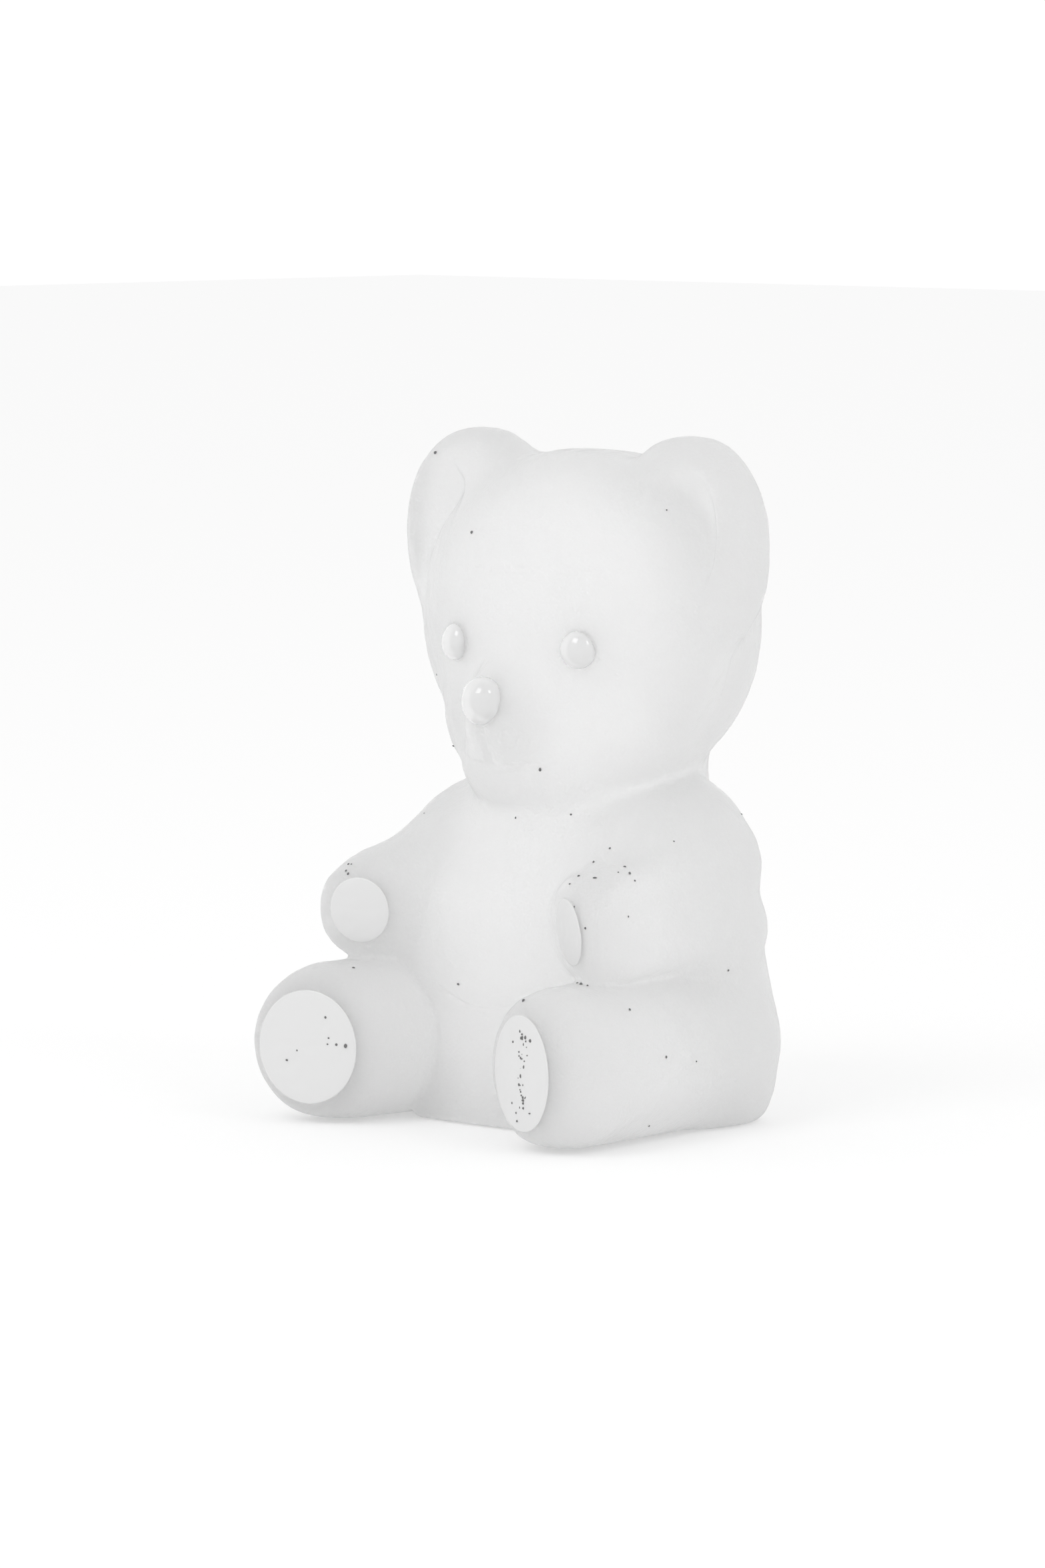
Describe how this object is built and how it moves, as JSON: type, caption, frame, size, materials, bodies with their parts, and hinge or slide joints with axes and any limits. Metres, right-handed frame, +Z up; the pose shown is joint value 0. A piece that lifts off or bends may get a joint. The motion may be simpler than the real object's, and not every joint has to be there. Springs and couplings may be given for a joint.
{
  "type": "crystal glass teddy bear figurine",
  "caption": "Seated teddy bear in solid satin crystal, with polished eyes, nose, soles and paw pads, standing on its own flat underside.",
  "frame": {"origin": "centre of the figurine's plan box, on the surface that it stands on", "axes": "+Z up; the bear faces -Y; +X is the bear's own left; X = 0 is its plane of symmetry"},
  "size_m": [0.0634, 0.0532, 0.09],
  "materials": {
    "satin_crystal": "clear crystal with an acid-etched satin skin, fine orange-peel grain",
    "polished_crystal": "the same crystal, fire-polished to a gloss"
  },
  "bodies": {
    "root": {"torso": "satin_crystal", "head": "satin_crystal", "left_ear": "satin_crystal", "right_ear": "satin_crystal", "left_arm": "satin_crystal", "right_arm": "satin_crystal", "left_leg": "satin_crystal", "right_leg": "satin_crystal", "left_eye": "polished_crystal", "right_eye": "polished_crystal", "nose": "polished_crystal", "left_foot_pad": "polished_crystal", "right_foot_pad": "polished_crystal", "left_hand_pad": "polished_crystal", "right_hand_pad": "polished_crystal"}
  },
  "joints": []
}
